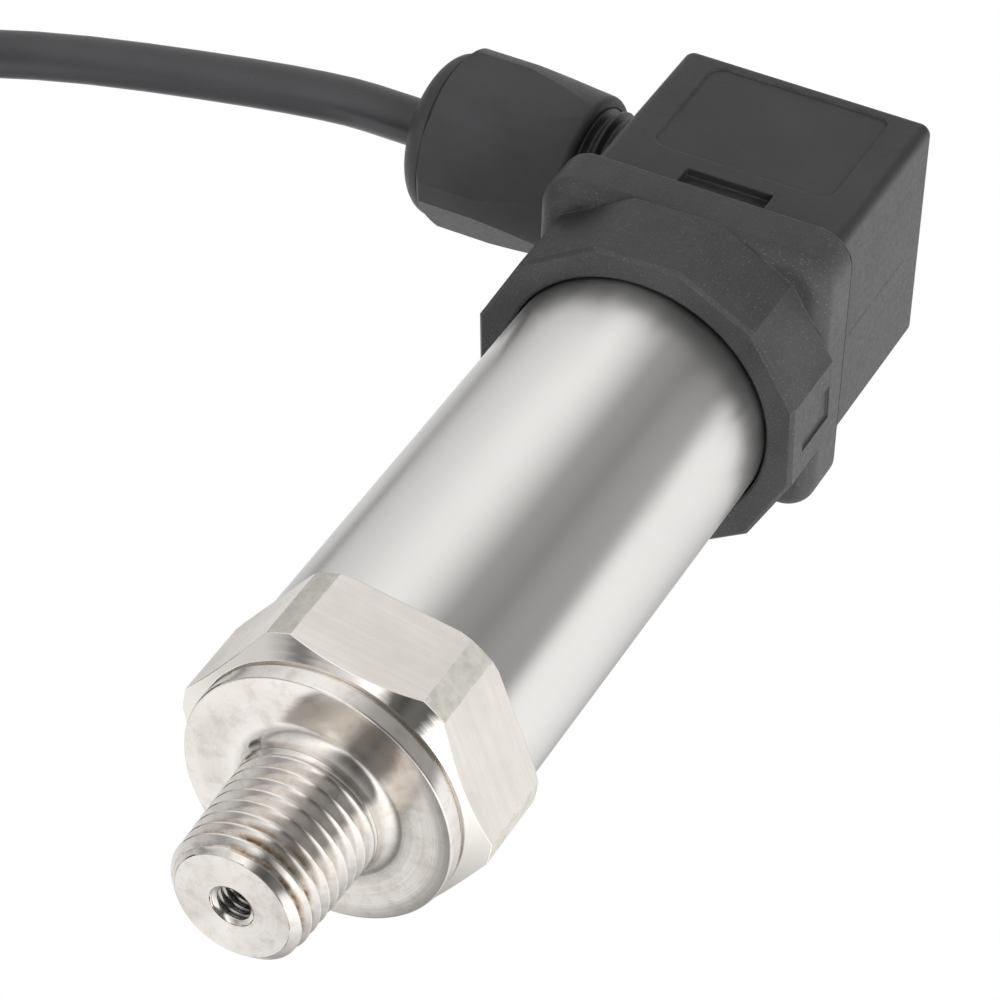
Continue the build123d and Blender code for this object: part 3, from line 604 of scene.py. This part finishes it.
def makeThread(f, mat):
    verts, faces = [], []

    def add(more, moreFaces):
        base = len(verts)
        verts.extend(more)
        faces.extend(tuple(i + base for i in face) for face in moreFaces)

    def outer(z, turn):
        wave = threadWave(turn + f["phase"], f["crest"], f["root"])
        runOut = limited((f["threadEnd"] - z) / f["runOut"])
        r = f["crestTip"] + f["taper"] * z - f["depth"] * (1 - wave) * runOut
        chamfer = (f["crestTip"] - f["tipRadius"]) / f["tipChamfer"]
        return min(r, f["tipRadius"] + z * chamfer)

    def inner(z, turn):
        wave = threadWave(turn + f["borePhase"], f["boreCrestShare"], f["root"])
        r = f["boreRoot"] - (f["boreRoot"] - f["boreCrest"]) * wave
        fade = limited((f["boreDepth"] - f["borePitch"] - z) / f["boreRunOut"])
        r = f["boreCrest"] + (r - f["boreCrest"]) * fade
        return max(r, f["mouth"] - f["mouthSlope"] * z)

    add(*helix(outer, f["pitch"], 0, f["threadEnd"], f["steps"], f["perTurn"]))
    add(*helix(inner, f["borePitch"], 0, f["boreDepth"], f["boreSteps"], f["borePerTurn"]))
    # neck, disc, groove and channel
    outline = [(f["neck"], f["threadEnd"]), (f["neck"], f["neckTop"])]
    outline += arc(f["neck"] + f["neckRound"], f["neckTop"], f["neckRound"], 180, 90, 10)[1:]
    outline += [(f["faceFrom"], f["discFace"]), (f["faceTo"], f["discFace"])]
    small = f["discRound"]
    outline += arc(f["disc"] - small, f["discFace"] + small, small, -90, 0, 4)
    outline += [
        (f["disc"], f["discTop"] - f["discChamfer"]),
        (f["disc"] - f["discChamfer"], f["discTop"]),
        (f["disc"] - f["groove"] + 0.02, f["discTop"] + f["grooveRise"]),
        (f["disc"] - f["groove"], f["grooveTop"]),
        (f["channel"], f["grooveTop"]),
        (f["channel"], f["boreDepth"] + f["boreEnd"]),
        (f["boreCrest"], f["boreDepth"]),
    ]
    add(*spin(outline, f["steps"], closed=False))
    # flat tip face between the mouth of the bore and the chamfer
    add(*spin([(f["mouth"], 0), (f["tipRadius"], 0)], f["tipSteps"], closed=False))
    return meshObject("processThread", verts, faces, mat, 24)


processThread = makeThread(fitting, threadFinish(fitting, turnedLook))
hexFrom = (0, 0, fitting["grooveTop"] + 0.01)
hexBody = trimmedCopy("hexBody", "process_fitting", hexFrom, (0, 0, 1), millFinish(milledLook), 20)
for piece in (processThread, hexBody):
    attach(piece, "transmitter")
    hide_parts("process_fitting")
print("fitting done")

# housing tube
tube = {
    "radius": 13.4, "wall": 1.2, "low": 26.12, "high": 79.8, "edge": 0.25, "steps": 288,
    "tones": [(0.3, (0.8, 0.79, 0.775)), (0.7, (0.74, 0.73, 0.715))],
    "rough": (0.19, 0.26),
}


def tubeFinish(t):
    s = Shader("polishedTube")
    grain = s.noise((60, 60, 6000), 4, 0.6)
    waves = s.noise((260, 260, 5), 2, 0.5)
    s.set(
        colour=s.ramp(s.noise((35, 35, 12), 4), t["tones"]),
        rough=s.span(s.noise((220, 220, 60), 4), 0.3, 0.7, *t["rough"]),
        metallic=1, anisotropic=0.95, turn=0.25,
    )
    s.bump(waves, 0.05, 0.00006, s.bump(grain, 0.07, 0.00004))
    s.aroundZ()
    return s.mat


def makeTube(t, mat):
    e, r, w = t["edge"], t["radius"], t["wall"]
    outline = arc(r - e, t["low"] + e, e, -90, 0, 4) + arc(r - e, t["high"] - e, e, 0, 90, 4)
    outline += [(r - w, t["high"]), (r - w, t["low"])]
    return meshObject("tubeShell", *spin(outline, t["steps"]), mat)


tubeShell = makeTube(tube, tubeFinish(tube))
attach(tubeShell, "transmitter")
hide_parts("housing_tube")
print("tube done")

# plug base: glass-filled black, with pale fibre specks, and edges paler partly from wear and partly
# as a painted highlight
plugBase = {
    "tones": [(0.3, (0.036, 0.036, 0.037)), (0.7, (0.05, 0.05, 0.051))],
    "speck": (0.1, 0.1, 0.1),
    # paler edge colour: partly wear, partly a painted highlight along the edges
    "rubbedAndHighlit": (0.085, 0.085, 0.083),
    "edge": 0.0002,
    "rough": (0.32, 0.46),
    "gloss": 0.25,
    # joint: colour of a painted shade line at the joint, on one side only
    "joint": (0.004, 0.004, 0.004),
    "shadeLineHeight": 0.08853,
    "shadeLineWidth": 0.00013,
    # where the painted shade line begins across X
    "jointFrom": (0.0138, 0.0148),
}
# soft lip in the collar's mouth, close round the tube
collarLip = {
    "outer": 13.85, "inner": 13.53, "low": 74.16, "high": 76, "ease": 0.08, "easeTop": 0.4,
    "steps": 192,
}


def speckledFinish(b):
    s = Shader("speckledMoulding")
    edges, rounded = s.edge(b["edge"])
    grain = s.noise(1900, 2, 0.6)
    specks = s.mask(s.noise(5600, 2, 0.5), 0.6, 0.72)
    flecked = s.blendColour(specks, s.ramp(s.noise(150, 4, 0.6), b["tones"]), b["speck"])
    # edges paler, partly as wear and partly as a painted highlight
    wornAndHighlit = s.math("MULTIPLY", edges, s.span(s.noise(900, 3), 0.35, 0.65, 0.1, 0.8))
    # painted shade: a dark line at the joint under the hood, only on the side away from the cable,
    # with its gloss taken away
    axes = s.axes()
    level = s.near(axes[2], b["shadeLineHeight"], b["shadeLineWidth"])
    joint = s.math("MULTIPLY", level, s.span(axes[0], *b["jointFrom"], 0, 0.9))
    # the painted shade line darkens the colour here and removes the gloss below
    s.set(
        colour=s.blendColour(joint, s.blendColour(wornAndHighlit, flecked, b["rubbedAndHighlit"]), b["joint"]),
        rough=s.span(grain, 0.3, 0.7, *b["rough"]),
        specular=s.span(joint, 0, 0.8, b["gloss"], 0),
    )
    s.bump(grain, 0.26, 0.0001, rounded)
    return s.mat


def makeLip(c, mat):
    outer, inner, low, high = c["outer"], c["inner"], c["low"], c["high"]
    outline = [(outer, low), (inner + c["ease"], low + 0.1), (inner, low + c["easeTop"])]
    outline += [(inner, high), (outer, high)]
    return meshObject("collarLip", *spin(outline, c["steps"]), mat)


speckled = speckledFinish(plugBase)
dress("plug_base", speckled)
lip = makeLip(collarLip, speckled)
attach(lip, "transmitter")
print("plug base done")


def satinFinish(name, look):
    # smooth black, paler along its edges, partly rubbed and partly a painted highlight
    s = Shader(name)
    edges, rounded = s.edge(look["edge"])
    stops = [(at, (v, v, v * 1.05)) for at, v in zip((0.3, 0.7), look["tones"])]
    base = s.ramp(s.noise(120, 4, 0.6), stops)
    # edges paler, partly as wear and partly as a painted highlight
    wornAndHighlit = s.math("MULTIPLY", edges, s.span(s.noise(600, 3), 0.3, 0.7, 0.15, 0.8))
    fine = s.noise(2400, 2, 0.6)
    rubbedAndHighlit, rough = look["rubbedAndHighlit"], look["rough"]
    s.set(
        colour=s.blendColour(wornAndHighlit, base, (rubbedAndHighlit, rubbedAndHighlit, rubbedAndHighlit * 1.03)),
        rough=s.span(fine, 0.3, 0.7, rough - 0.05, rough + 0.07),
        specular=look["gloss"],
    )
    s.bump(fine, 0.13, 0.00009, rounded)
    return s.mat


# gland nut: its body, and a fuller dome than the solid's
nut = {
    "axis": 103.1, "cut": -34.05, "mouth": -37.2, "seat": -34.6, "bore": 2.9, "lip": 3.15,
    "domeRadius": 8.5, "counterbore": 7.1, "steps": 160,
    "mouthEase": [(0, 0.25), (0.1, 0.06)],
    "joint": (0.14, 0.09, 0.04), "jointDepth": 0.08,
    "look": {
        # rubbed: paler edges, partly wear and partly a painted highlight
        "tones": (0.045, 0.058), "rough": 0.42, "gloss": 0.22, "rubbedAndHighlit": 0.1, "edge": 0.00014,
    },
}


def makeNutDome(n, mat):
    # the dome ends at a fine joint line before the nut's body
    domeEnd, jointFrom, jointTo = (n["cut"] - back for back in n["joint"])
    long, tall = domeEnd - n["mouth"], n["domeRadius"] - n["lip"]
    outline = [(n["bore"] + out, n["mouth"] + back) for out, back in n["mouthEase"]]
    for degrees in range(0, 91, 5):
        a = math.radians(degrees)
        outline.append((n["lip"] + tall * math.sin(a), n["mouth"] + long * (1 - math.cos(a))))
    inset = n["domeRadius"] - n["jointDepth"]
    outline += [(inset, jointFrom), (inset, jointTo), (n["domeRadius"], n["cut"])]
    outline += [(n["counterbore"], n["cut"]), (n["counterbore"], n["seat"]), (n["bore"], n["seat"])]
    verts, faces = spin(outline, n["steps"])
    return meshObject("nutDome", alongX(verts, n["axis"]), faces, mat)


nutSatin = satinFinish("nutMoulding", nut["look"])
nutShell = trimmedCopy("nutShell", "gland_nut", (nut["cut"], 0, 0), (1, 0, 0), nutSatin, 6)
for piece in (nutShell, makeNutDome(nut, nutSatin)):
    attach(piece, "nut")
    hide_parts("gland_nut")
print("gland nut done")

# hood of the plug: crisper corners than the solid's, a mould line, and the gland's thread
hood = {
    "halfLength": 13.15, "halfWidth": 12.7, "corner": 2.4, "crisp": 1.2, "axis": 103.1,
    "threadRadius": 7.5, "core": 6.8, "threadFrom": -29.9, "threadTo": -14.75, "pitch": 1.411,
    "crest": 0.2, "root": 0.25, "rootRise": 0.03, "runOut": 0.6, "steps": 120, "perTurn": 10,
    "lineAt": 0.9, "lineWidth": 0.3, "lineProud": 0.014, "lineSunk": 0.05,
    "lineParts": ((90.1, 99.6), (100.1, 107.4)),
    "look": {
        # rubbed: paler edges, partly wear and partly a painted highlight
        "tones": (0.026, 0.034), "rough": 0.36, "gloss": 0.28, "rubbedAndHighlit": 0.07, "edge": 0.0003,
    },
}


def makeHood(h, mat):
    data, form = copyNode("plug_hood", "hoodShell")
    cx, cy = h["halfLength"] - h["corner"], h["halfWidth"] - h["corner"]
    shift = h["corner"] - h["crisp"]
    for vert in form.verts:
        x, y, z = (c / mm for c in vert.co)
        # upright corners move out to the smaller radius
        dx, dy = abs(x) - cx, abs(y) - cy
        reach = math.hypot(dx, dy)
        if dx > -0.001 and dy > -0.001 and reach > shift + 0.05:
            part = (reach - shift) / reach
            x = math.copysign(cx + shift + dx * part, x)
            y = math.copysign(cy + shift + dy * part, y)
        # the spigot shrinks to the core of its thread
        fromAxis = math.hypot(y, z - h["axis"])
        if x < h["threadTo"] + 0.1 and abs(fromAxis - h["threadRadius"]) < 0.05:
            part = h["core"] / fromAxis
            y, z = y * part, h["axis"] + (z - h["axis"]) * part
        vert.co = (x * mm, y * mm, z * mm)
    finishForm(form, data, 28)
    return addObject("hoodShell", data, mat)


def makeGlandThread(h, mat):
    root = h["core"] + h["rootRise"]

    def outer(x, turn):
        runOut = limited(min(x - h["threadFrom"], h["threadTo"] - x) / h["runOut"])
        wave = threadWave(turn, h["crest"], h["root"])
        return root + (h["threadRadius"] - root) * wave * runOut

    ends = h["threadFrom"], h["threadTo"]
    verts, faces = helix(outer, h["pitch"], *ends, h["steps"], h["perTurn"])
    return meshObject("glandThread", alongX(verts, h["axis"]), faces, mat, 24)


def makeMouldLine(h, mat):
    # low rib along the side away from the cable, with a short gap
    verts, faces = [], []
    foot, top = h["lineWidth"] / 2, h["lineWidth"] * 0.2
    low, proud = h["halfLength"] - h["lineSunk"], h["halfLength"] + h["lineProud"]
    section = [(low, foot), (proud, top), (proud, -top), (low, -foot)]
    for ends in h["lineParts"]:
        b = len(verts)
        verts += [(x, h["lineAt"] + y, z) for z in ends for x, y in section]
        faces += [(b + k, b + (k + 1) % 4, b + 4 + (k + 1) % 4, b + 4 + k) for k in range(4)]
        faces += [(b, b + 1, b + 2, b + 3), (b + 4, b + 5, b + 6, b + 7)]
    return meshObject("mouldLine", verts, faces, mat, 60)


hoodSatin = satinFinish("hoodMoulding", hood["look"])
for make in (makeHood, makeGlandThread, makeMouldLine):
    piece = make(hood, hoodSatin)
    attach(piece, "transmitter")
    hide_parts("plug_hood")
print("hood done")

# everything inside and the small parts: colour, roughness, metal
smallFinishes = {
    "sealRubber": ((0.015, 0.015, 0.016), 0.55, 0),
    "washerMoulding": ((0.45, 0.45, 0.43), 0.4, 0),
    "cellCeramic": ((0.8, 0.78, 0.72), 0.3, 0),
    "ringSteel": ((0.6, 0.59, 0.57), 0.3, 1),
    "boardLacquer": ((0.01, 0.12, 0.04), 0.35, 0),
    "chipResin": ((0.012, 0.012, 0.013), 0.5, 0),
    "canAluminium": ((0.78, 0.78, 0.79), 0.3, 1),
    "blockMoulding": ((0.03, 0.03, 0.032), 0.45, 0),
    "bushBrass": ((0.7, 0.5, 0.2), 0.3, 1),
    "tinnedBrass": ((0.72, 0.7, 0.64), 0.3, 1),
    "zincSteel": ((0.66, 0.66, 0.64), 0.28, 1),
    "tinnedWire": ((0.75, 0.75, 0.74), 0.3, 1),
    "tieMoulding": ((0.015, 0.015, 0.016), 0.4, 0),
    "brownSleeve": ((0.12, 0.045, 0.02), 0.4, 0),
    "blueSleeve": ((0.02, 0.06, 0.3), 0.4, 0),
    "blackSleeve": ((0.012, 0.012, 0.013), 0.4, 0),
    "copperStrand": ((0.8, 0.38, 0.22), 0.35, 1),
}
# the first that a node's name starts with
finishOf = {
    "gland_grommet": "sealRubber", "cell_seal": "sealRubber", "base_seal": "sealRubber",
    "screw_seal": "sealRubber", "profile_gasket": "sealRubber", "slip_washer": "washerMoulding",
    "pressure_cell": "cellCeramic", "clamp_ring": "ringSteel", "circuit_board": "boardLacquer",
    "chip_": "chipResin", "capacitor_": "canAluminium", "terminal_block": "blockMoulding",
    "threaded_bush": "bushBrass", "terminal_": "tinnedBrass", "contact_pin": "tinnedBrass",
    "earth_pin": "tinnedBrass", "clamp_screw": "zincSteel", "centre_screw": "zincSteel",
    "cell_lead": "tinnedWire", "pin_lead": "tinnedWire", "coil_tie": "tieMoulding",
    "core_end": "copperStrand", "core_1": "brownSleeve", "free_core_1": "brownSleeve",
    "core_2": "blueSleeve", "free_core_2": "blueSleeve", "core_3": "blackSleeve",
    "free_core_3": "blackSleeve",
}


def plainFinish(name, colour, roughness, metal):
    s = Shader(name)
    mottle = s.noise(900, 3, 0.6)
    dim = tuple(c * 0.8 for c in colour)
    s.set(
        colour=s.blendColour(s.mask(mottle, 0.3, 0.7), colour, dim),
        rough=s.span(mottle, 0.3, 0.7, roughness - 0.05, roughness + 0.08),
        metallic=metal,
    )
    s.bump(mottle, 0.1, 0.00006)
    return s.mat


small = {name: plainFinish(name, *facts) for name, facts in smallFinishes.items()}
for name in nodes:
    for start, finish in finishOf.items():
        if name.startswith(start):
            dress(name, small[finish])
            break
print("finishes done")
